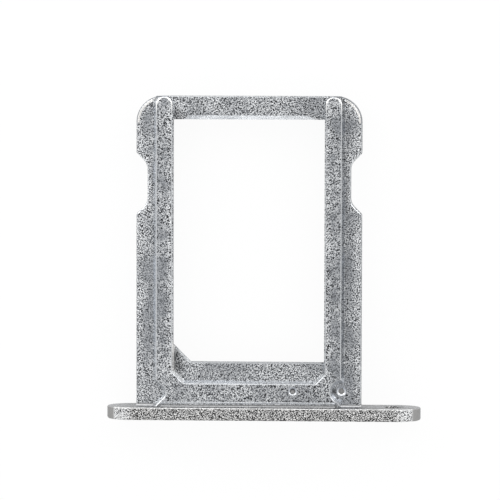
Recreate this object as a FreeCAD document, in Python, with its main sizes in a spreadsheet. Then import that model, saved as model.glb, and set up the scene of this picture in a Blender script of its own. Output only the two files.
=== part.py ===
"""SIM card tray of a tablet: one metal piece, a card frame with a long round-ended door.

Lengths are in millimetres and angles in degrees. The local frame that the features are drawn in has
x = 0 on the card's centre line, y = 0 at the door's inner face and z = 0 on the side that the card
lies in. The finished tray is then moved so that it lies door towards -Y, raised rib upwards, with the
origin under the middle of its outline.
"""

import FreeCAD, Part
import math
import os
import Sketcher

SIZES = {
    # the nano card, and the room that it gets
    "card_length": 12.3,
    "card_width": 8.8,
    "card_thickness": 0.67,
    "card_cut": 1.65,
    "card_gap": 0.05,
    # the ledge that carries the card's edge, all round the window
    "side_ledge": 0.84,
    "end_ledge": 0.41,
    "cut_ledge": 0.29,
    # the walls round the pocket
    "side_wall": 0.93,
    "far_wall": 0.7,
    "near_wall": 1.73,
    "pocket_corner": 0.3,
    "pocket_lead": 0.08,
    # the plate, its round far corners and the spring notches in its edges
    "plate_thickness": 1.0,
    "far_corner": 1.25,
    "edge_break": 0.07,
    "notch_depth": 0.53,
    "notch_mouth": 2.92,
    "notch_from_end": 4.17,
    "notch_floor_round": 0.6,
    "notch_lip_round": 0.15,
    # the raised rib: two rails, the bar that joins them at the door, and the reliefs in its outer corners
    "rib_height": 0.25,
    "rib_slope": 31.0,
    "rib_edge": 0.03,
    "rib_end_gap": 0.05,
    "rail_width": 0.74,
    "rail_lead": 0.06,
    "bar_width": 1.1,
    "rib_cut_left": 0.56,
    "rib_cut_right": 0.46,
    "left_relief_depth": 0.63,
    "left_relief_from_door": 0.67,
    "left_relief_round": 0.38,
    "right_relief_radius": 0.56,
    "right_foot_in": 0.15,
    # the narrow bevel along the near edges of the window, and the wide one along its far edge
    "near_bevel_width": 0.08,
    "near_bevel_margin": 0.12,
    "bevel_width": 0.19,
    "bevel_slope": 45.0,
    "bevel_margin": 0.45,
    "bevel_run_out": 0.28,
    "bevel_sweep": 0.62,
    # the door, the low land that stiffens its joint with the bar, and the bead along their corner
    "door_length": 15.0,
    "door_height": 2.3,
    "door_thickness": 0.6,
    "door_shift": 0.72,
    "door_drop": 0.4,
    "door_front_round": 0.1,
    "door_back_edge": 0.035,
    "door_root": 0.12,
    "land_length": 8.32,
    "land_width": 0.19,
    "land_height": 0.24,
    "land_edge": 0.015,
    "land_root": 0.07,
    "bead_width": 0.035,
    "bead_height": 0.04,
    # the hole for the eject pin, and two shallow round marks
    "eject_radius": 0.45,
    "eject_from_end": 1.27,
    "eject_lead": 0.07,
    "bar_mark_radius": 0.19,
    "bar_mark_depth": 0.08,
    "bar_mark_across": 2.12,
    "flange_mark_radius": 0.21,
    "flange_mark_depth": 0.045,
    "flange_mark_out": 0.03,
    "mark_from_door": 0.77,
    "mark_slope": 60.0,
}

# Sizes that follow from the ones above
POCKET_HALF = "(Sizes.card_width / 2 + Sizes.card_gap)"
POCKET_FAR = "(Sizes.near_wall + Sizes.card_length + 2 * Sizes.card_gap)"
POCKET_DEPTH = "(Sizes.card_thickness + Sizes.card_gap)"
POCKET_CUT = "(Sizes.card_cut + Sizes.card_gap * (2 - sqrt(2)))"
FRAME_HALF = f"({POCKET_HALF} + Sizes.side_wall)"
FRAME_LENGTH = f"({POCKET_FAR} + Sizes.far_wall)"
WINDOW_HALF = f"({POCKET_HALF} - Sizes.side_ledge)"
WINDOW_NEAR = "(Sizes.near_wall + Sizes.end_ledge)"
WINDOW_FAR = f"({POCKET_FAR} - Sizes.end_ledge)"
WINDOW_CUT = f"({POCKET_CUT} + sqrt(2) * Sizes.cut_ledge - Sizes.side_ledge - Sizes.end_ledge)"
NOTCH_LINE = f"({FRAME_LENGTH} - Sizes.notch_from_end)"
RIB_TOP = "(Sizes.plate_thickness + Sizes.rib_height)"
RAIL_INNER = f"({WINDOW_HALF} + Sizes.rail_lead)"
RAIL_OUTER = f"({RAIL_INNER} + Sizes.rail_width)"
RAIL_END_RADIUS = "(Sizes.rail_width / 2)"
DOOR_RADIUS = "(Sizes.door_height / 2)"
DOOR_AXIS_HEIGHT = f"({DOOR_RADIUS} - Sizes.door_drop)"
EJECT_LINE = "(Sizes.door_shift + Sizes.door_length / 2 - Sizes.eject_from_end)"
FLANGE_MARK_ACROSS = f"({RAIL_OUTER} + Sizes.flange_mark_out)"

# The numbers by which a sketch knows its own axes, and the ends and centre of an edge
HORIZONTAL_AXIS, VERTICAL_AXIS = range(-1, -3, -1)
START, END, CENTRE = range(1, 4)
NEAR = 1e-4


def write_sheet(doc):
    """The driving sizes, one row each, with the cell's alias beside it."""
    sheet = doc.addObject("Spreadsheet::Sheet", "Sizes")
    for row, (alias, size) in enumerate(SIZES.items(), start=1):
        sheet.set(f"A{row}", alias)
        sheet.set(f"B{row}", str(size))
        sheet.setAlias(f"B{row}", alias)
    doc.recompute()
    return sheet


def value(text):
    """The number that an expression on the sheet gives."""
    result = FreeCAD.ActiveDocument.Sizes.evalExpression(text)
    return float(getattr(result, "Value", result))


def origin_plane(body, role):
    return next(part for part in body.Origin.OriginFeatures if part.Role == role)


def new_sketch(body, name, role="XY_Plane", offset=None):
    """A sketch on one of the body's own planes, moved along the plane's normal by offset."""
    sketch = body.newObject("Sketcher::SketchObject", name)
    sketch.AttachmentSupport = [(origin_plane(body, role), "")]
    sketch.MapMode = "FlatFace"
    if offset:
        sketch.setExpression("AttachmentOffset.Base.z", offset)
    return sketch


def hold_point(sketch, edge, end, x, y):
    """Fixes a point of an edge by two distances from the sketch's origin."""
    for kind, axis, text in (("DistanceX", VERTICAL_AXIS, x), ("DistanceY", HORIZONTAL_AXIS, y)):
        if text == "0":
            sketch.addConstraint(Sketcher.Constraint("PointOnObject", edge, end, axis))
            continue
        held = Sketcher.Constraint(kind, HORIZONTAL_AXIS, START, edge, end, value(text))
        index = sketch.addConstraint(held)
        sketch.setExpression(f"Constraints[{index}]", text)


def point(x, y):
    return FreeCAD.Vector(value(x), value(y), 0)


def draw_outline(sketch, corners):
    """A closed outline through corners that the sheet's sizes give. Each corner says whether the
    run that leaves it is straight or an arc, and every arc leaves the run before it smoothly."""
    spots = [point(x, y) for x, y, turn in corners]
    count = len(corners)
    tails = []
    for edge, (x, y, turn) in enumerate(corners):
        start, end = spots[edge], spots[(edge + 1) % count]
        if turn is None:
            sketch.addGeometry(Part.LineSegment(start, end), False)
            tails.append((START, END))
            continue
        arc, ends = tangent_arc(spots[edge - 1], start, end, turn)
        sketch.addGeometry(arc, False)
        tails.append(ends)
    for edge, (x, y, turn) in enumerate(corners):
        before = (edge - 1) % count
        kind = "Tangent" if turn else "Coincident"
        joint = Sketcher.Constraint(kind, before, tails[before][1], edge, tails[edge][0])
        sketch.addConstraint(joint)
        hold_point(sketch, edge, tails[edge][0], x, y)


def tangent_arc(before, start, end, turn):
    """The arc from start to end that leaves the run from before to start smoothly, with the names
    of the ends that it starts and stops at. A sketch keeps every arc anticlockwise."""
    heading = (start - before).normalize()
    side = FreeCAD.Vector(-heading.y, heading.x, 0) * (1 if turn == "anticlockwise" else -1)
    chord = end - start
    radius = chord.dot(chord) / (2 * chord.dot(side))
    centre = start + side * radius
    first, last, ends = (start, end, (START, END)) if turn == "anticlockwise" else (end, start, (END, START))
    angles = [math.atan2(spot.y - centre.y, spot.x - centre.x) for spot in (first, last)]
    circle = Part.Circle(centre, FreeCAD.Vector(0, 0, 1), radius)
    return Part.ArcOfCircle(circle, *angles), ends


def draw_polygon(sketch, corners):
    """A closed run of straight edges through corners that the sheet's sizes give."""
    draw_outline(sketch, [(x, y, None) for x, y in corners])


def draw_circle(sketch, x, y, radius):
    centre = point(x, y)
    circle = Part.Circle(centre, FreeCAD.Vector(0, 0, 1), value(radius))
    edge = sketch.addGeometry(circle, False)
    hold_point(sketch, edge, CENTRE, x, y)
    index = sketch.addConstraint(Sketcher.Constraint("Radius", edge, value(radius)))
    sketch.setExpression(f"Constraints[{index}]", radius)


def pad(body, name, sketch, length, reverse=False, taper=None, midplane=False):
    feature = body.newObject("PartDesign::Pad", name)
    feature.Profile = sketch
    feature.setExpression("Length", length)
    feature.Reversed = reverse
    feature.Midplane = midplane
    if taper:
        feature.setExpression("TaperAngle", taper)
    return recomputed(body, feature)


def pocket(body, name, sketch, depth=None, reverse=False, taper=None):
    """Cuts down from the sketch, or up when reversed, to a depth or through everything."""
    before = body.Shape.Volume
    feature = body.newObject("PartDesign::Pocket", name)
    feature.Profile = sketch
    feature.Reversed = reverse
    if depth:
        feature.setExpression("Length", depth)
    else:
        feature.Type = "ThroughAll"
    if taper:
        feature.setExpression("TaperAngle", taper)
    recomputed(body, feature)
    if body.Shape.Volume >= before - NEAR:
        raise ValueError(f"{name} cuts nothing")
    return feature


def recomputed(body, feature):
    body.Document.recompute()
    if "Invalid" in feature.State or "Error" in feature.State or feature.Shape.isNull():
        raise ValueError(f"{feature.Label}: {feature.getStatusString()}")
    return feature


def dress(body, kind, name, base, size, test):
    """A fillet or chamfer of one size on those of the base feature's edges that pass the test."""
    edges = [f"Edge{n}" for n, edge in enumerate(base.Shape.Edges, 1) if test(edge)]
    if not edges:
        raise ValueError(f"{name} has no edges")
    feature = body.newObject(f"PartDesign::{kind}", name)
    feature.Base = (base, edges)
    feature.setExpression("Radius" if kind == "Fillet" else "Size", size)
    return recomputed(body, feature)


def stands_at(*spots):
    """Passes upright straight edges over any of these (x, y) spots."""
    places = [(value(x), value(y)) for x, y in spots]

    def test(edge):
        ends = [vertex.Point for vertex in edge.Vertexes]
        if len(ends) != 2 or math.hypot(ends[0].x - ends[1].x, ends[0].y - ends[1].y) > NEAR:
            return False
        return any(math.hypot(ends[0].x - x, ends[0].y - y) < NEAR for x, y in places)

    return test


def lies_at(height, also=None):
    """Passes edges that lie flat at a height and, where one is given, pass a second test."""
    level = value(height)

    def test(edge):
        box = edge.BoundBox
        flat = abs(box.ZMin - level) < NEAR and abs(box.ZMax - level) < NEAR
        return flat and (also is None or also(edge))

    return test


def stands_in(depth, also):
    """Passes edges in the upright plane at a depth along Y that pass a second test too."""
    plane = value(depth)

    def test(edge):
        box = edge.BoundBox
        flat = abs(box.YMin - plane) < NEAR and abs(box.YMax - plane) < NEAR
        return flat and also(edge)

    return test


def make_plate(body):
    """The flat frame blank: far corners rounded, a notch in each side for the holding springs."""
    sketch = new_sketch(body, "PlateOutline")
    left, right = f"-{FRAME_HALF}", FRAME_HALF
    draw_polygon(sketch, [(left, "0"), (right, "0"), (right, FRAME_LENGTH), (left, FRAME_LENGTH)])
    blank = pad(body, "Plate", sketch, "Sizes.plate_thickness")

    sketch = new_sketch(body, "NotchOutline", offset="Sizes.plate_thickness")
    outside = f"({FRAME_HALF} + Sizes.notch_depth)"
    floor = f"({FRAME_HALF} - Sizes.notch_depth)"
    half_outside = "(Sizes.notch_mouth / 2 + Sizes.notch_depth)"
    half_floor = "(Sizes.notch_mouth / 2 - Sizes.notch_depth)"
    draw_polygon(sketch, [
        (outside, f"{NOTCH_LINE} - {half_outside}"),
        (outside, f"{NOTCH_LINE} + {half_outside}"),
        (floor, f"{NOTCH_LINE} + {half_floor}"),
        (floor, f"{NOTCH_LINE} - {half_floor}"),
    ])
    notch = pocket(body, "Notch", sketch)
    both = body.newObject("PartDesign::Mirrored", "NotchPair")
    both.Originals = [notch]
    both.MirrorPlane = (origin_plane(body, "YZ_Plane"), [""])
    body.Tip = both
    recomputed(body, both)

    far = [(side, FRAME_LENGTH) for side in (left, right)]
    shaped = dress(body, "Fillet", "FarCorners", both, "Sizes.far_corner", stands_at(*far))
    floors = [(f"{sign}{floor}", f"{NOTCH_LINE} {step} {half_floor}") for sign in ("", "-") for step in "+-"]
    shaped = dress(body, "Fillet", "NotchFloors", shaped, "Sizes.notch_floor_round", stands_at(*floors))
    half_mouth = "Sizes.notch_mouth / 2"
    lips = [(side, f"{NOTCH_LINE} {step} {half_mouth}") for side in (left, right) for step in "+-"]
    shaped = dress(body, "Fillet", "NotchLips", shaped, "Sizes.notch_lip_round", stands_at(*lips))

    on_back, on_front = lies_at("0"), lies_at("Sizes.plate_thickness")

    def at_rim(edge):
        return edge.CenterOfMass.y > NEAR and (on_back(edge) or on_front(edge))

    return dress(body, "Fillet", "PlateRim", shaped, "Sizes.edge_break", at_rim)


def draw_rib(sketch):
    """The rib seen from above: two round-ended rails, a bar with cut inner corners, and a blunt
    notch in the outer corner that is beside the card's cut corner."""
    centre_y = f"({FRAME_LENGTH} - Sizes.rib_end_gap - {RAIL_END_RADIUS})"
    leg = "(Sizes.left_relief_round / sqrt(2))"
    round_x = f"({RAIL_OUTER} - Sizes.left_relief_depth + {leg})"
    foot = f"({RAIL_OUTER} - Sizes.left_relief_depth + Sizes.left_relief_from_door)"
    draw_outline(sketch, [
        (RAIL_OUTER, centre_y, None),
        (RAIL_OUTER, "Sizes.mark_from_door", None),
        (f"({RAIL_OUTER} - Sizes.right_foot_in)", "0", None),
        (f"-{foot}", "0", None),
        (f"-{round_x}", f"(Sizes.left_relief_from_door - {leg})", "anticlockwise"),
        (f"-{round_x}", f"(Sizes.left_relief_from_door + {leg})", None),
        (f"-{RAIL_OUTER}", "(Sizes.left_relief_from_door + Sizes.left_relief_depth)", None),
        (f"-{RAIL_OUTER}", centre_y, "clockwise"),
        (f"-{RAIL_INNER}", centre_y, None),
        (f"-{RAIL_INNER}", "(Sizes.bar_width + Sizes.rib_cut_left)", None),
        (f"(Sizes.rib_cut_left - {RAIL_INNER})", "Sizes.bar_width", None),
        (f"({RAIL_INNER} - Sizes.rib_cut_right)", "Sizes.bar_width", None),
        (RAIL_INNER, "(Sizes.bar_width + Sizes.rib_cut_right)", None),
        (RAIL_INNER, centre_y, "clockwise"),
    ])


def sink_cone(body, name, across, level, radius, depth, slope):
    """A round sinking with sloping sides, whose radius is the one at its mouth, beside the door."""
    cone = body.newObject("PartDesign::SubtractiveCone", name)
    cone.AttachmentSupport = [(origin_plane(body, "XY_Plane"), "")]
    cone.MapMode = "FlatFace"
    cone.setExpression("AttachmentOffset.Base.x", across)
    cone.setExpression("AttachmentOffset.Base.y", "Sizes.mark_from_door")
    cone.setExpression("AttachmentOffset.Base.z", f"{level} - {depth}")
    cone.setExpression("Radius1", f"{radius} - {depth} * tan({slope})")
    cone.setExpression("Radius2", radius)
    cone.setExpression("Height", depth)
    return recomputed(body, cone)


def make_rib(body):
    """The raised rib, whose sides slope down to the plate, sunk round the flange mark's place and
    cut off flush at the far edge."""
    sketch = new_sketch(body, "RibOutline", offset=RIB_TOP)
    draw_rib(sketch)
    length = "Sizes.rib_height + Sizes.edge_break"
    pad(body, "Rib", sketch, length, reverse=True, taper="Sizes.rib_slope")
    relief = sink_cone(
        body, "RightRelief", FLANGE_MARK_ACROSS, RIB_TOP, "Sizes.right_relief_radius",
        "Sizes.rib_height", "Sizes.rib_slope")
    shaped = dress(body, "Chamfer", "RibEdge", relief, "Sizes.rib_edge", lies_at(RIB_TOP))

    sketch = new_sketch(body, "FarTrimOutline", offset=RIB_TOP)
    beyond = f"({FRAME_LENGTH} + Sizes.far_wall)"
    draw_polygon(sketch, [
        (f"-{FRAME_HALF}", FRAME_LENGTH), (FRAME_HALF, FRAME_LENGTH),
        (FRAME_HALF, beyond), (f"-{FRAME_HALF}", beyond),
    ])
    return pocket(body, "FarTrim", sketch)


def make_marks(body):
    """Two shallow round marks with sloping sides: one on the bar, one in the flange beside it."""
    sink_cone(
        body, "BarMark", "Sizes.bar_mark_across", RIB_TOP, "Sizes.bar_mark_radius",
        "Sizes.bar_mark_depth", "Sizes.mark_slope")
    sink_cone(
        body, "FlangeMark", FLANGE_MARK_ACROSS, "Sizes.plate_thickness", "Sizes.flange_mark_radius",
        "Sizes.flange_mark_depth", "Sizes.mark_slope")


def make_window(body):
    """The opening that shows the card, with one corner closed where the card's own corner is cut."""
    sketch = new_sketch(body, "WindowOutline", offset=RIB_TOP)
    draw_polygon(sketch, [
        (f"({WINDOW_CUT} - {WINDOW_HALF})", WINDOW_NEAR),
        (WINDOW_HALF, WINDOW_NEAR),
        (WINDOW_HALF, WINDOW_FAR),
        (f"-{WINDOW_HALF}", WINDOW_FAR),
        (f"-{WINDOW_HALF}", f"({WINDOW_NEAR} + {WINDOW_CUT})"),
    ])
    pocket(body, "Window", sketch)

    sketch = new_sketch(body, "NearBevelOutline", offset="Sizes.plate_thickness")
    width, inside = "Sizes.near_bevel_width", "2 * Sizes.near_bevel_width"
    side = f"({WINDOW_HALF} - Sizes.near_bevel_margin)"
    cut_line = f"({WINDOW_NEAR} + {WINDOW_CUT} - {WINDOW_HALF})"
    draw_polygon(sketch, [
        (side, f"({WINDOW_NEAR} - {width})"),
        (side, f"({WINDOW_NEAR} + {inside})"),
        (f"({WINDOW_CUT} - {WINDOW_HALF} + {inside})", f"({WINDOW_NEAR} + {inside})"),
        (f"-{side}", f"({cut_line} + {side} + 2 * {inside})"),
        (f"-{side}", f"({cut_line} + {side} - sqrt(2) * {width})"),
        (f"({WINDOW_CUT} - {WINDOW_HALF} - (sqrt(2) - 1) * {width})", f"({WINDOW_NEAR} - {width})"),
    ])
    depth = f"{width} / tan(Sizes.bevel_slope)"
    pocket(body, "NearBevel", sketch, depth, taper="-Sizes.bevel_slope")

    sketch = new_sketch(body, "FarBevelOutline", offset="Sizes.plate_thickness")
    edge_end = f"({WINDOW_HALF} - Sizes.bevel_margin)"
    back = f"({WINDOW_FAR} + Sizes.bevel_width)"
    front = f"({WINDOW_FAR} - 3 * Sizes.bevel_width)"
    draw_outline(sketch, [
        (f"-{edge_end}", front, None),
        (f"-{edge_end}", WINDOW_FAR, None),
        (f"(Sizes.bevel_run_out - {edge_end})", back, None),
        (f"({edge_end} - Sizes.bevel_sweep)", back, "clockwise"),
        (edge_end, WINDOW_FAR, None),
        (edge_end, front, None),
    ])
    depth = "Sizes.bevel_width / tan(Sizes.bevel_slope)"
    return pocket(body, "FarBevel", sketch, depth, taper="-Sizes.bevel_slope")


def make_card_pocket(body):
    """The recess in the back that holds the card flush, with a corner cut so it fits one way only."""
    sketch = new_sketch(body, "CardOutline")
    draw_polygon(sketch, [
        (f"({POCKET_CUT} - {POCKET_HALF})", "Sizes.near_wall"),
        (POCKET_HALF, "Sizes.near_wall"),
        (POCKET_HALF, POCKET_FAR),
        (f"-{POCKET_HALF}", POCKET_FAR),
        (f"-{POCKET_HALF}", f"(Sizes.near_wall + {POCKET_CUT})"),
    ])
    recess = pocket(body, "CardPocket", sketch, POCKET_DEPTH, reverse=True)
    corners = [
        (POCKET_HALF, "Sizes.near_wall"), (POCKET_HALF, POCKET_FAR), (f"-{POCKET_HALF}", POCKET_FAR),
    ]
    rounded = dress(body, "Fillet", "CardCorners", recess, "Sizes.pocket_corner", stands_at(*corners))
    reach_x = value(POCKET_HALF) + NEAR
    reach_y = value(POCKET_FAR) + NEAR
    start_y = value("Sizes.near_wall") - NEAR

    def at_mouth(edge):
        middle = edge.CenterOfMass
        return abs(middle.x) < reach_x and start_y < middle.y < reach_y

    return dress(body, "Chamfer", "CardLead", rounded, "Sizes.pocket_lead", lies_at("0", at_mouth))


def make_door(body):
    """The round-ended door that closes the slot, off centre, with the eject hole in its longer end."""
    sketch = new_sketch(body, "DoorOutline", role="XZ_Plane")
    half_straight = f"(Sizes.door_length / 2 - {DOOR_RADIUS})"
    low, high = "-Sizes.door_drop", "(Sizes.door_height - Sizes.door_drop)"
    draw_outline(sketch, [
        (f"(Sizes.door_shift - {half_straight})", low, None),
        (f"(Sizes.door_shift + {half_straight})", low, "anticlockwise"),
        (f"(Sizes.door_shift + {half_straight})", high, None),
        (f"(Sizes.door_shift - {half_straight})", high, "anticlockwise"),
    ])
    door = pad(body, "Door", sketch, "Sizes.door_thickness")
    middle, inner, outer = value(DOOR_AXIS_HEIGHT), "0", "-Sizes.door_thickness"
    reach = value(DOOR_RADIUS) - NEAR
    plate_top = value("Sizes.plate_thickness") + NEAR

    def at_rim(edge):
        return max(abs(vertex.Z - middle) for vertex in edge.Vertexes) > reach

    def at_root(edge):
        return not at_rim(edge) and max(vertex.Z for vertex in edge.Vertexes) < plate_top

    shaped = dress(body, "Fillet", "DoorRoot", door, "Sizes.door_root", stands_in(inner, at_root))
    shaped = dress(
        body, "Fillet", "DoorFrontRound", shaped, "Sizes.door_front_round", stands_in(outer, at_rim))
    dress(body, "Chamfer", "DoorBackEdge", shaped, "Sizes.door_back_edge", stands_in(inner, at_rim))

    sketch = new_sketch(body, "EjectOutline", role="XZ_Plane")
    draw_circle(sketch, EJECT_LINE, DOOR_AXIS_HEIGHT, "Sizes.eject_radius")
    hole = pocket(body, "EjectHole", sketch, reverse=True)
    bore = value("Sizes.eject_radius")

    def at_bore(edge):
        return abs(getattr(edge.Curve, "Radius", 0) - bore) < NEAR

    return dress(body, "Chamfer", "EjectLead", hole, "Sizes.eject_lead", stands_in(outer, at_bore))


def make_land(body):
    """The low land along the foot of the door's inner face, with a hollow foot where the bar joins it
    and a bead where the door does."""
    sketch = new_sketch(body, "LandProfile", role="YZ_Plane")
    top = f"({RIB_TOP} + Sizes.land_height)"
    draw_outline(sketch, [
        ("-Sizes.land_width", f"({top} + Sizes.bead_height)", None),
        ("Sizes.bead_width", f"({top} + Sizes.bead_height)", None),
        ("(Sizes.bead_width + Sizes.bead_height)", top, None),
        ("(Sizes.land_width - Sizes.land_edge)", top, None),
        ("Sizes.land_width", f"({top} - Sizes.land_edge)", None),
        ("Sizes.land_width", f"({RIB_TOP} + Sizes.land_root)", "anticlockwise"),
        ("(Sizes.land_width + Sizes.land_root)", RIB_TOP, None),
        ("(Sizes.land_width + Sizes.land_root)", "Sizes.plate_thickness", None),
        ("-Sizes.land_width", "Sizes.plate_thickness", None),
    ])
    return pad(body, "Land", sketch, "Sizes.land_length", midplane=True)


def make_tray(doc):
    body = doc.addObject("PartDesign::Body", "Tray")
    body.Label = "tray"
    doc.recompute()
    make_plate(body)
    make_rib(body)
    make_marks(body)
    make_window(body)
    make_card_pocket(body)
    make_door(body)
    make_land(body)
    body.setExpression("Placement.Base.x", "-Sizes.door_shift")
    body.setExpression("Placement.Base.y", f"(Sizes.door_thickness - {FRAME_LENGTH}) / 2")
    body.setExpression("Placement.Base.z", "Sizes.door_drop")
    doc.recompute()
    return body


def check_document(doc, body):
    """Stops if any object failed, or if the tray isn't one sound solid."""
    failed = [item.Label for item in doc.Objects if {"Invalid", "Error"} & set(item.State)]
    if failed:
        raise ValueError("failed: " + ", ".join(failed))
    shape = body.Shape
    if shape.isNull() or not shape.isValid() or len(shape.Solids) != 1:
        raise ValueError(f"{body.Label} isn't one sound solid")


def main():
    doc = FreeCAD.newDocument("SimCardTray")
    write_sheet(doc)
    body = make_tray(doc)
    check_document(doc, body)
    os.makedirs("parts", exist_ok=True)
    body.Shape.exportStep(f"parts/{body.Label}.step")
    box = body.Shape.optimalBoundingBox(False)
    print(f"{body.Label}: {box.XLength:.2f} x {box.YLength:.2f} x {box.ZLength:.2f} mm")


main()
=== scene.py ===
import math

import bpy
from mathutils import Matrix, Vector


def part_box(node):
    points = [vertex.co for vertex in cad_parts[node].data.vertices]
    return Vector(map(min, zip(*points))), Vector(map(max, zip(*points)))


mm = 0.001  # the sizes below are in millimetres

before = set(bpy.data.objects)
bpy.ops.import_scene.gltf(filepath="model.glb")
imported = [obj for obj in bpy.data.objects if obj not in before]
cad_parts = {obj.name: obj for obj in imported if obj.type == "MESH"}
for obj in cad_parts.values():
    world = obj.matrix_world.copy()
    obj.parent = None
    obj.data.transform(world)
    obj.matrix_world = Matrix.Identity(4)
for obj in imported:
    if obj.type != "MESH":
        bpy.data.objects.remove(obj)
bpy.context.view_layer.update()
print("frame loaded:", sorted(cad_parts))


class Value:
    # a shader socket that takes part in ordinary arithmetic
    def __init__(self, maker, socket):
        self.maker = maker
        self.socket = socket

    def apply(self, operation, *values):
        made = self.maker.node("ShaderNodeMath", {"operation": operation}, dict(enumerate(values)))
        return made.out(0)

    def __add__(self, other):
        return self.apply("ADD", self, other)

    def __sub__(self, other):
        return self.apply("SUBTRACT", self, other)

    def __rsub__(self, other):
        return self.apply("SUBTRACT", other, self)

    def __mul__(self, other):
        return self.apply("MULTIPLY", self, other)

    def __abs__(self):
        return self.apply("ABSOLUTE", self)

    __radd__ = __add__
    __rmul__ = __mul__


class Made:
    # a node that was added, with its outputs as values
    def __init__(self, maker, node):
        self.maker = maker
        self.node = node

    def out(self, name):
        return Value(self.maker, self.node.outputs[name])


class Maker:
    # adds nodes to one material, world or lamp
    def __init__(self, owner):
        owner.use_nodes = True
        self.tree = owner.node_tree
        self.tree.nodes.clear()

    def node(self, kind, settings=None, inputs=None):
        node = self.tree.nodes.new(kind)
        for name, setting in (settings or {}).items():
            if name == "stops":
                self.setStops(node.color_ramp, setting)
            else:
                setattr(node, name, setting)
        for name, given in (inputs or {}).items():
            if isinstance(given, Value):
                self.tree.links.new(given.socket, node.inputs[name])
            else:
                node.inputs[name].default_value = given
        return Made(self, node)

    def setStops(self, ramp, stops):
        while len(ramp.elements) < len(stops):
            ramp.elements.new(1.0)
        for element, (place, colour) in zip(ramp.elements, stops):
            element.position = place
            element.color = colour

    def smooth(self, value, low, high):
        # 0 below low and 1 above high, with a soft change between them
        made = self.node("ShaderNodeMapRange", {"interpolation_type": "SMOOTHSTEP"},
                         {"Value": value, "From Min": low, "From Max": high})
        return made.out("Result")

    def noise(self, place, scale, detail, roughness, distortion=0.0):
        made = self.node("ShaderNodeTexNoise", {"noise_dimensions": "3D"},
                         {"Vector": place, "Scale": scale, "Detail": detail,
                          "Roughness": roughness, "Distortion": distortion})
        return made.out("Fac")

    def distance(self, place, centre):
        # how far a place is from a centre that is given in millimetres
        made = self.node("ShaderNodeVectorMath", {"operation": "DISTANCE"},
                         {0: place, 1: [part * mm for part in centre]})
        return made.out("Value")

    def mixColour(self, factor, first, second):
        made = self.node("ShaderNodeMix", {"data_type": "RGBA"}, {0: factor, 6: first, 7: second})
        return made.out(2)

    def scaleColour(self, colour, factor):
        # the colour made darker or brighter by a value
        made = self.node("ShaderNodeVectorMath", {"operation": "SCALE"}, {0: colour, "Scale": factor})
        return made.out(0)


def grey(level):
    return (level, level, level, 1.0)


def largest(first, *others):
    for other in others:
        first = first.apply("MAXIMUM", first, other)
    return first


trayMetal = {
    "name": "blastedTrayMetal",
    # sizes of the tray that the finish follows
    "centreLine": -0.72,       # the card frame's middle, across
    "frameHalf": 5.38,
    "windowHalf": 3.61,
    "farCorner": 1.25,
    "notchFloor": 4.85,
    "notchFromEnd": 4.17,
    "edgeBreak": 0.07,
    "footAt": 4.62,            # where the rib's outer slope meets the plate
    "plateTop": 1.40,
    "doorThickness": 0.6,
    "doorCap": 0.38,           # the smooth outermost part of the door's round ends
    # the blasted grain
    "grainSize": 0.056,
    "fineGrainSize": 0.042,
    "fineShare": 0.4,          # how much of the grain is the fine one
    "patchSize": 1.5,          # patches where the grain is deeper or shallower
    "evenDepth": 0.18,         # how deep the grain is where nothing adds to it
    "roughDepth": 0.42,        # and what rough patches, worn parts and the door add
    "wornDepth": 0.42,
    "doorDepth": 2.1,
    "contrast": 12.5,
    "doorWear": -0.2,          # the door's grain is darker than the frame's
    "doorEndHighlight": 0.9,           # and its ends carry a painted highlight, much brighter
    "bumpDepth": 0.004,
    "roughness": 0.25,
    "grazing": 0.8,            # how much a face mirrors when it is seen edge on
    # colours from the bottom of the grain to its crests, and where on the way each one stands
    "pit": (0.03, 0.03, 0.031),
    "low": (0.24, 0.252, 0.268),
    "body": (0.61, 0.638, 0.682),
    "high": (0.78, 0.805, 0.84),
    "crest": (0.95, 0.965, 0.975),
    "grainTones": [(0.0, "pit"), (0.28, "low"), (0.52, "body"), (0.76, "high"), (1.0, "crest")],
    # other colours
    "rubbedEdgeSheen": (0.66, 0.675, 0.69),         # the frame's edges: smoothed by handling, and lighter as a painted sheen
    "doorEdgeHighlight": (1.0, 0.995, 0.98),      # the door's, near white as a painted highlight
    "paintedHighlight": (1.0, 0.99, 0.97),             # a painted highlight, near white
    "doorTint": (0.705, 0.69, 0.675),      # the door's metal next to the frame's
    "rootShadeGrey": 0.46,                      # painted shade: the smooth metal where the frame meets the door, a flat darker grey
    # how much of the edge polish, the painted highlights and the painted shade shows
    "edgeWearAndSheen": 0.75,
    "archHighlight": 0.8,         # painted highlight round the far ends of the rib
    "rootShadeShare": 0.8,
    "leftSlopeShine": 0.7,     # painted highlight on the rib's outer slope on the left
    "innerSlopeShine": 0.8,    # painted highlight on its inner slope beside the cut corner
    "farSlopeShine": 0.6,      # painted highlight on its slopes by the door
    "backSlopeShine": 0.6,
    "farBevelShine": 0.72,
    "doorBackShine": 0.22,
    # painted shade: how bright these stay, next to the rest
    "straightRim": 0.7,
    "sideWallShade": 0.8,
    "ribEdgeShade": 0.75,
    "shadedSlope": 0.68,       # painted shade on the rib's outer slope on the right
    "shadedFoot": 0.8,         # and painted shade on the plate along its foot
    "rightSideShade": 0.93,         # painted shade on the frame's right side
    "capShade": 0.46,
    "paintedShadeSpots": [
        # place, radius and darkness of the spots of painted shade on the plate: in the right relief, at the
        # window's far left corner and, three of them, at its cut corner, all beside walls
        ((3.40, -6.34, 1.40), 0.20, 0.6),
        ((-4.20, 6.75, 1.40), 0.50, 0.5),
        ((-4.28, -4.60, 1.40), 0.40, 0.5),
        ((-4.22, -4.95, 1.40), 0.55, 0.45),
        ((-4.15, -5.35, 1.40), 0.55, 0.4),
    ],
    "marks": [
        # place and radius of the two round marks, and the brightness of their floors, the middle last; the
        # floors' darkness is painted shade
        ((1.40, -6.345, 1.61), 0.19, 0.11, 0.42),
        ((3.72, -6.345, 1.38), 0.21, 0.38, 0.47),
    ],
}


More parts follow.
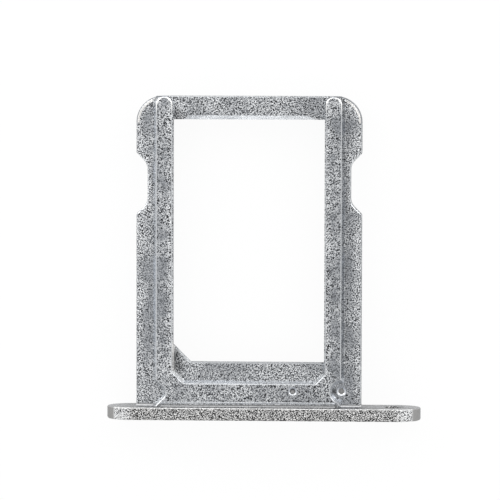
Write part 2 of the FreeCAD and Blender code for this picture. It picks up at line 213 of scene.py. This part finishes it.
class TrayMetal:
    # one metal all over the tray: masks find its parts by place and by the way that a face points,
    # and each finish, painted highlight and painted shade is laid over the ones before it
    def __init__(self, size):
        self.size = size
        self.material = bpy.data.materials.new(size["name"])
        self.make = Maker(self.material)
        self.findPlaces()
        self.findEdges()
        height = self.blastedGrain()
        tone = self.grainTone(height)
        tone = self.paintEdgeWearAndLight(tone)
        tone = self.toneRib(tone)
        tone = self.addPaintedShade(tone)
        tone = self.toneBevel(tone)
        tone = self.toneDoor(tone)
        tone = self.addMarks(tone)
        self.shade(tone, height)

    def colour(self, name):
        return self.size[name] + (1.0,)

    def past(self, distance, start, end):
        # 0 before start and 1 past end, both in millimetres
        return self.make.smooth(distance, start * mm, end * mm)

    def between(self, distance, start, startEnd, endStart, end):
        return self.past(distance, start, startEnd) * (1 - self.past(distance, endStart, end))

    def dim(self, tone, mask, level):
        # the colour brought down to a level where the mask is 1
        return self.make.scaleColour(tone, 1 - (1 - level) * mask)

    def findPlaces(self):
        make, size = self.make, self.size
        lo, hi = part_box("tray")
        self.nearEnd, self.farEnd, self.rightEnd = lo.y / mm, hi.y / mm, hi.x / mm
        coordinates = make.node("ShaderNodeTexCoord")
        self.place = coordinates.out("Object")
        spot = make.node("ShaderNodeSeparateXYZ", None, {0: self.place})
        self.y, self.z = spot.out("Y"), spot.out("Z")
        self.alongDoor = abs(spot.out("X"))
        across = spot.out("X") - size["centreLine"] * mm
        self.aside = abs(across)
        facing = make.node("ShaderNodeSeparateXYZ", None, {0: coordinates.out("Normal")})
        self.toRight, self.toFar = facing.out("X"), facing.out("Y")
        self.upright = abs(facing.out("Z"))
        self.wall = 1 - make.smooth(self.upright, 0.1, 0.3)
        self.onRight = self.past(across, 0.0, 1.0)

        # the door, its smooth caps and its ends, which carry a painted highlight
        inner = self.nearEnd + size["doorThickness"]
        self.door = 1 - self.past(self.y, inner - 0.02, inner + 0.02)
        self.offDoor = 1 - self.door
        self.root = 1 - self.past(self.y, inner + 0.12, inner + 0.14)
        capStart = self.rightEnd - size["doorCap"]
        self.cap = self.door * self.past(self.alongDoor, capStart - 0.06, capStart + 0.06)
        self.cap = self.cap * (1 - make.smooth(abs(self.toFar), 0.7, 0.9))
        self.doorEnd = self.door * (1 - self.wall) * self.past(
            self.alongDoor, self.rightEnd - 1.4, self.rightEnd - 0.8)

        # the round far corners, and how far a point is from the middle of their bend
        cornerStart = size["frameHalf"] - size["farCorner"]
        self.corner = self.past(self.aside, cornerStart, cornerStart + 0.05) * self.past(
            self.y, self.farEnd - size["farCorner"] - 0.05, self.farEnd - size["farCorner"])
        bend = make.node("ShaderNodeCombineXYZ", None, {0: self.aside, 1: self.y}).out(0)
        self.bendRadius = make.distance(bend, (cornerStart, self.farEnd - size["farCorner"], 0.0))

    def findEdges(self):
        # the narrow edges, where the surface turns
        make, size = self.make, self.size
        frameEdge = make.smooth(self.upright, 0.58, 0.68) * (1 - make.smooth(self.upright, 0.94, 0.99))
        doorEdge = make.smooth(self.toFar, 0.25, 0.5) * (1 - make.smooth(self.toFar, 0.95, 0.99))
        self.edge = frameEdge * (1 - self.root) + self.door * doorEdge
        sideStart = size["frameHalf"] - size["edgeBreak"]
        farStart = self.farEnd - size["edgeBreak"]
        sideRim = self.past(self.aside, sideStart - 0.01, sideStart)
        self.farRim = self.past(self.y, farStart - 0.01, farStart)
        window = size["windowHalf"]
        self.windowRim = self.between(self.aside, window - 0.01, window, window + 0.07, window + 0.08)
        self.straightRim = self.edge * largest(sideRim, self.farRim, self.windowRim)
        self.straightRim = self.straightRim * (1 - self.corner) * self.offDoor

    def blastedGrain(self):
        # small dimples and crests that run into each other, deepest on the door and beside the
        # outer and inner edges of the frame
        make, size = self.make, self.size
        patches = make.noise(self.place, 1 / (size["patchSize"] * mm), 2.0, 0.5)
        self.rough = make.smooth(patches, 0.38, 0.62)
        half, window, notch = size["frameHalf"], size["windowHalf"], size["notchFloor"]
        besideRim = self.past(self.aside, half - 0.5, half - 0.15)
        besideWindow = 1 - self.past(self.aside, window + 0.12, window + 0.4)
        besideWindow = besideWindow * (0.5 + 0.5 * self.past(self.aside, window - 0.1, window))
        besideCorner = self.corner * self.past(self.bendRadius, 0.75, 1.1)
        fromNotch = abs(self.y - (self.farEnd - size["notchFromEnd"]) * mm)
        besideNotch = self.past(self.aside, notch - 0.28, notch - 0.1) * (1 - self.past(fromNotch, 1.25, 1.5))
        worn = largest(besideRim, besideWindow, besideCorner, besideNotch) * self.offDoor

        depth = size["evenDepth"] + size["roughDepth"] * self.rough + size["wornDepth"] * worn
        depth = depth + size["doorDepth"] * self.door
        # edges, the door's caps, the root and the side walls are smoother
        depth = depth * (1 - 0.75 * self.edge) * (1 - 0.9 * self.cap)
        depth = depth * (1 - 0.8 * self.root * self.offDoor) * (1 - self.wall * (0.55 + 0.2 * self.door))
        coarse = make.noise(self.place, 1 / (size["grainSize"] * mm), 1.0, 0.5, 0.5)
        fine = make.noise(self.place, 1 / (size["fineGrainSize"] * mm), 0.0, 0.5)
        grain = coarse * (1 - size["fineShare"]) + fine * size["fineShare"]
        height = (grain - 0.5) * depth * (1 - 0.5 * self.doorEnd) * size["contrast"] + 0.5 - 0.04 * depth
        height = height + size["doorWear"] * self.door * (1 - self.wall) * (1 - self.cap)
        # painted highlight: the door's round ends lifted up the grain's colours
        return height + size["doorEndHighlight"] * self.doorEnd

    def grainTone(self, height):
        stops = [(level, self.colour(name)) for level, name in self.size["grainTones"]]
        return self.make.node("ShaderNodeValToRGB", {"stops": stops}, {0: height}).out(0)

    def paintEdgeWearAndLight(self, tone):
        make, size = self.make, self.size
        # the edges: smoother worn metal with a painted sheen, and a white painted highlight on the door's
        edgeWearAndSheenColour = make.mixColour(self.door, self.colour("rubbedEdgeSheen"), self.colour("doorEdgeHighlight"))
        tone = make.mixColour(self.edge * size["edgeWearAndSheen"], tone, edgeWearAndSheenColour)

        # painted highlights: bright arches round the rib's far ends, and a bright line inside each round far
        # corner
        self.outside = self.past(self.aside, size["footAt"] - 0.05, size["footAt"])
        self.arch = self.past(self.y, self.farEnd - 0.9, self.farEnd - 0.4) * (1 - self.farRim)
        self.arch = self.arch * self.between(
            self.aside, size["windowHalf"] + 0.02, size["windowHalf"] + 0.04,
            size["footAt"] - 0.05, size["footAt"])
        bendEnd = size["farCorner"]
        turned = self.past(self.bendRadius, bendEnd - 0.06, bendEnd - 0.04)
        cornerLine = self.past(self.bendRadius, bendEnd - 0.17, bendEnd - 0.13) * (1 - turned)
        cornerLine = cornerLine * self.corner * self.outside * (1 - self.wall)
        archLine = self.edge * self.arch * size["archHighlight"]
        tone = make.mixColour(largest(archLine, cornerLine), tone, self.colour("paintedHighlight"))
        # painted shade on the outermost part of each round far corner's bend
        tone = make.mixColour(self.corner * turned * (1 - self.wall), tone, self.colour("low"))

        # painted shade: the root fillet turned a flat darker grey
        tone = make.mixColour(self.root * self.offDoor * size["rootShadeShare"], tone, grey(size["rootShadeGrey"]))
        # painted shade on the straight rims and on the side walls
        tone = self.dim(tone, self.straightRim, size["straightRim"])
        return self.dim(tone, self.wall * self.offDoor, size["sideWallShade"])

    def toneRib(self, tone):
        make, size = self.make, self.size
        sloping = make.smooth(self.upright, 0.3, 0.45) * (1 - make.smooth(self.upright, 0.6, 0.68))
        sloping = sloping * self.offDoor * (1 - self.root)
        byDoor = 1 - self.past(self.y, self.nearEnd + 1.95, self.nearEnd + 2.05)
        onLeft = 1 - self.onRight

        # the outer slopes: painted shade on the right, painted highlight near the top on the left
        rightSlope = sloping * self.onRight * (1 - byDoor) * make.smooth(self.toRight, 0.5, 0.7)
        tone = self.dim(tone, rightSlope, size["shadedSlope"])
        leftSlope = sloping * onLeft * (1 - byDoor) * (1 - make.smooth(self.toRight, -0.7, -0.5))
        leftSlope = leftSlope * self.past(self.z, 1.46, 1.60)
        tone = make.mixColour(leftSlope * size["leftSlopeShine"], tone, self.colour("high"))

        # the inner slope, with a painted highlight beside the window's cut corner
        innerSlope = sloping * onLeft * make.smooth(self.toRight, 0.5, 0.7)
        innerSlope = innerSlope * (1 - self.past(self.y, -4.1, -3.9))
        tone = make.mixColour(innerSlope * size["innerSlopeShine"], tone, self.colour("paintedHighlight"))

        # painted shade on the edge of the rib's top, the frame's right side and the plate along the right
        # slope's foot
        ribEdgeShade = self.edge * (1 - self.outside) * (1 - self.arch) * (1 - self.windowRim)
        tone = self.dim(tone, ribEdgeShade * (1 - self.farRim) * self.offDoor, size["ribEdgeShade"])
        tone = self.dim(tone, self.onRight * self.offDoor, size["rightSideShade"])
        foot = self.between(
            self.aside, size["footAt"] - 0.02, size["footAt"], size["footAt"], size["footAt"] + 0.34)
        tone = self.dim(tone, foot * self.onRight * (1 - byDoor), size["shadedFoot"])

        # painted highlights on the slopes by the door: those that face the far end, and the backs of the
        # reliefs
        farSlope = sloping * make.smooth(self.toFar, 0.3, 0.4)
        farSlope = farSlope * (1 - self.past(self.y, self.nearEnd + 3.5, self.nearEnd + 3.6))
        reliefPart = byDoor * self.past(self.aside, 3.0, 3.1)
        slopeColour = make.mixColour(
            1 - make.smooth(self.toFar, 0.7, 0.8), self.colour("high"), self.colour("crest"))
        tone = make.mixColour(farSlope * size["farSlopeShine"] * (1 - 0.6 * reliefPart), tone, slopeColour)
        backSlope = sloping * reliefPart * (1 - make.smooth(self.toFar, 0.0, 0.3))
        return make.mixColour(backSlope * size["backSlopeShine"], tone, self.colour("crest"))

    def addPaintedShade(self, tone):
        # painted shade: darker round spots on the plate beside walls
        onPlate = 1 - self.past(self.z, self.size["plateTop"] + 0.02, self.size["plateTop"] + 0.10)
        for centre, radius, darkness in self.size["paintedShadeSpots"]:
            away = self.make.distance(self.place, centre)
            shadeSpot = onPlate * (1 - self.past(away, 0.3 * radius, radius))
            tone = self.dim(tone, shadeSpot, 1 - darkness)
        return tone

    def toneBevel(self, tone):
        # painted highlight on the bevel at the window's far end
        farBevel = self.edge * (1 - self.make.smooth(self.toFar, -0.65, -0.5)) * self.past(self.y, 0.0, 1.0)
        return self.make.scaleColour(tone, 1 + self.size["farBevelShine"] * farBevel)

    def toneDoor(self, tone):
        make, size = self.make, self.size
        tinted = self.door * (1 - self.edge) * (1 - 0.5 * self.wall)
        # the door's ends keep more of their colour, as part of their painted highlight
        tinted = tinted * (1 - 0.35 * self.doorEnd * (1 - self.cap))
        tint = make.mixColour(tinted, grey(1.0), self.colour("doorTint"))
        tone = make.node("ShaderNodeVectorMath", {"operation": "MULTIPLY"}, {0: tone, 1: tint}).out(0)
        # painted shade on the door's round caps, where they turn away
        tone = self.dim(tone, self.cap, size["capShade"])

        # painted reflection on the inner face, with painted shade towards its top, on the right most
        innerFace = self.door * make.smooth(self.toFar, 0.9, 0.97)
        shadeUp = self.past(self.z, 1.1, 1.7) * (0.12 + 0.26 * self.onRight)
        return make.scaleColour(tone, 1 + innerFace * (size["doorBackShine"] - shadeUp))

    def addMarks(self, tone):
        make = self.make
        for centre, radius, floorShade, middleShade in self.size["marks"]:
            away = make.distance(self.place, centre)
            middle = 1 - self.past(away, 0.2 * radius, 0.5 * radius)
            core = 1 - self.past(away, 0.62 * radius, 0.9 * radius)
            lip = 1 - self.past(away, 1.05 * radius, 1.3 * radius)
            # painted highlight on each mark's lower rim, and painted shade on its sunk floor
            lower = 1 - self.past(self.y, centre[1] - 0.8 * radius, centre[1] + 0.2 * radius)
            ring = make.mixColour(lower, self.colour("body"), self.colour("high"))
            sunk = make.mixColour(middle, grey(floorShade), grey(middleShade))
            mark = make.mixColour(core, make.scaleColour(ring, 0.85), sunk)
            tone = make.mixColour(lip, tone, mark)
        return tone

    def shade(self, tone, height):
        make, size = self.make, self.size
        roughness = size["roughness"] + 0.06 * self.rough - 0.06 * self.edge + 0.1 * self.cap
        bump = make.node("ShaderNodeBump", None, {
            "Strength": 1.0, "Distance": size["bumpDepth"] * mm, "Height": height})
        shader = make.node("ShaderNodeBsdfPrincipled", None, {
            "Base Color": tone, "Metallic": 1.0, "Roughness": roughness,
            "Specular Tint": grey(size["grazing"]), "Normal": bump.out(0)})
        make.node("ShaderNodeOutputMaterial", None, {"Surface": shader.out(0)})


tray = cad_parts["tray"]
tray.material_slots[0].material = TrayMetal(trayMetal).material
print("tray dressed in", tray.material_slots[0].material.name)


floorLook = {
    "name": "studioFloor",
    "side": 4.0,               # metres
    "colour": 0.97,
    "evenness": 0.93,          # how much of the soft shadow a bright paper floor takes away
    "mirrored": 0.35,          # and how much of it where the metal mirrors the floor
}


def makeFloor(look):
    bpy.ops.object.select_all(action="DESELECT")
    bpy.ops.mesh.primitive_plane_add(size=look["side"], location=(0.0, 0.0, 0.0))
    floor = bpy.context.active_object
    floor.name = look["name"]
    paper = bpy.data.materials.new("whitePaper")
    make = Maker(paper)
    rays = make.node("ShaderNodeLightPath")
    mirrored = (rays.out("Is Glossy Ray") + rays.out("Is Transmission Ray")) * look["mirrored"]
    glow = rays.out("Is Camera Ray") * look["evenness"] + mirrored
    lit = make.node("ShaderNodeBsdfDiffuse", None, {"Color": grey(look["colour"])})
    bright = make.node("ShaderNodeEmission", None, {"Color": grey(1.0), "Strength": 1.0})
    mixed = make.node("ShaderNodeMixShader", None, {
        0: glow.apply("MINIMUM", glow, look["evenness"]), 1: lit.out(0), 2: bright.out(0)})
    make.node("ShaderNodeOutputMaterial", None, {"Surface": mixed.out(0)})
    floor.data.materials.append(paper)


makeFloor(floorLook)
print("floor laid")


studio = {
    "sky": 1.0,                # brightness all round
    "aside": 0.2,              # and more of it low on the left and the right
    "dark": 0.44,              # brightness of the dark round patch where a camera would hang
    "patchAt": (0.0, -0.14, 1.0),
    "patchInner": 8.0,         # where the patch starts to fade, and where it ends, in degrees
    "patchOuter": 35.0,
    "floorward": 0.75,         # brightness just below the horizon
    "softboxes": [
        # name, where it stands, its width and height in metres, its brightness
        ("farLow", (0.0, 0.38, 0.18), 0.34, 0.18, 1.3),
        ("farLeft", (-0.34, 0.26, 0.20), 0.24, 0.18, 2.4),
        ("farRight", (0.34, 0.26, 0.20), 0.24, 0.18, 2.4),
        ("nearLow", (0.0, -0.42, 0.08), 0.50, 0.12, 1.2),
    ],
}


def lightStudio(look):
    world = bpy.data.worlds.new("paleRoom")
    bpy.context.scene.world = world
    make = Maker(world)
    way = make.node("ShaderNodeTexCoord").out("Generated")
    toward = make.node("ShaderNodeSeparateXYZ", None, {0: way})
    aim = Vector(look["patchAt"]).normalized()
    off = make.node("ShaderNodeVectorMath", {"operation": "DOT_PRODUCT"}, {0: way, 1: aim}).out("Value")
    outer, inner = (math.cos(math.radians(look[name])) for name in ("patchOuter", "patchInner"))
    patch = make.smooth(off, outer, inner)
    low = make.smooth(toward.out("Z"), -0.2, 0.1)
    aside = make.smooth(abs(toward.out("X")), 0.35, 0.8) * look["aside"]
    around = look["floorward"] + low * (look["sky"] + aside - look["floorward"])
    strength = around + patch * (look["dark"] - look["sky"])
    air = make.node("ShaderNodeBackground", None, {"Color": grey(1.0), "Strength": strength})
    make.node("ShaderNodeOutputWorld", None, {"Surface": air.out(0)})
    for name, place, width, height, brightness in look["softboxes"]:
        lamp = bpy.data.lights.new(name, "AREA")
        lamp.shape = "RECTANGLE"
        lamp.size = width
        lamp.size_y = height
        lamp.energy = brightness * width * height * math.pi
        box = bpy.data.objects.new(name, lamp)
        box.location = place
        box.rotation_euler = (-Vector(place)).to_track_quat("-Z", "Y").to_euler()
        bpy.context.scene.collection.objects.link(box)


lightStudio(studio)
print("lights set")


cameraLook = {
    "target": (-0.6642, 0.3857, 1.4),
    "distance": 186.233,
    "pitch": -0.0596681,       # turns in radians
    "yaw": 0.0513475,
    "roll": 0.0026281,
    "lens": 281.245,
}


def placeCamera(look):
    camera = bpy.data.objects.new("camera", bpy.data.cameras.new("camera"))
    bpy.context.scene.collection.objects.link(camera)
    camera.data.lens = look["lens"]
    camera.data.clip_start = 0.01
    turn = (Matrix.Rotation(look["yaw"], 4, "Y") @ Matrix.Rotation(look["pitch"], 4, "X")
            @ Matrix.Rotation(look["roll"], 4, "Z"))
    eye = Vector(look["target"]) * mm + turn @ Vector((0.0, 0.0, look["distance"] * mm))
    camera.matrix_world = Matrix.Translation(eye) @ turn
    bpy.context.scene.camera = camera


placeCamera(cameraLook)
bpy.context.scene.view_settings.view_transform = "Standard"
print("camera placed")
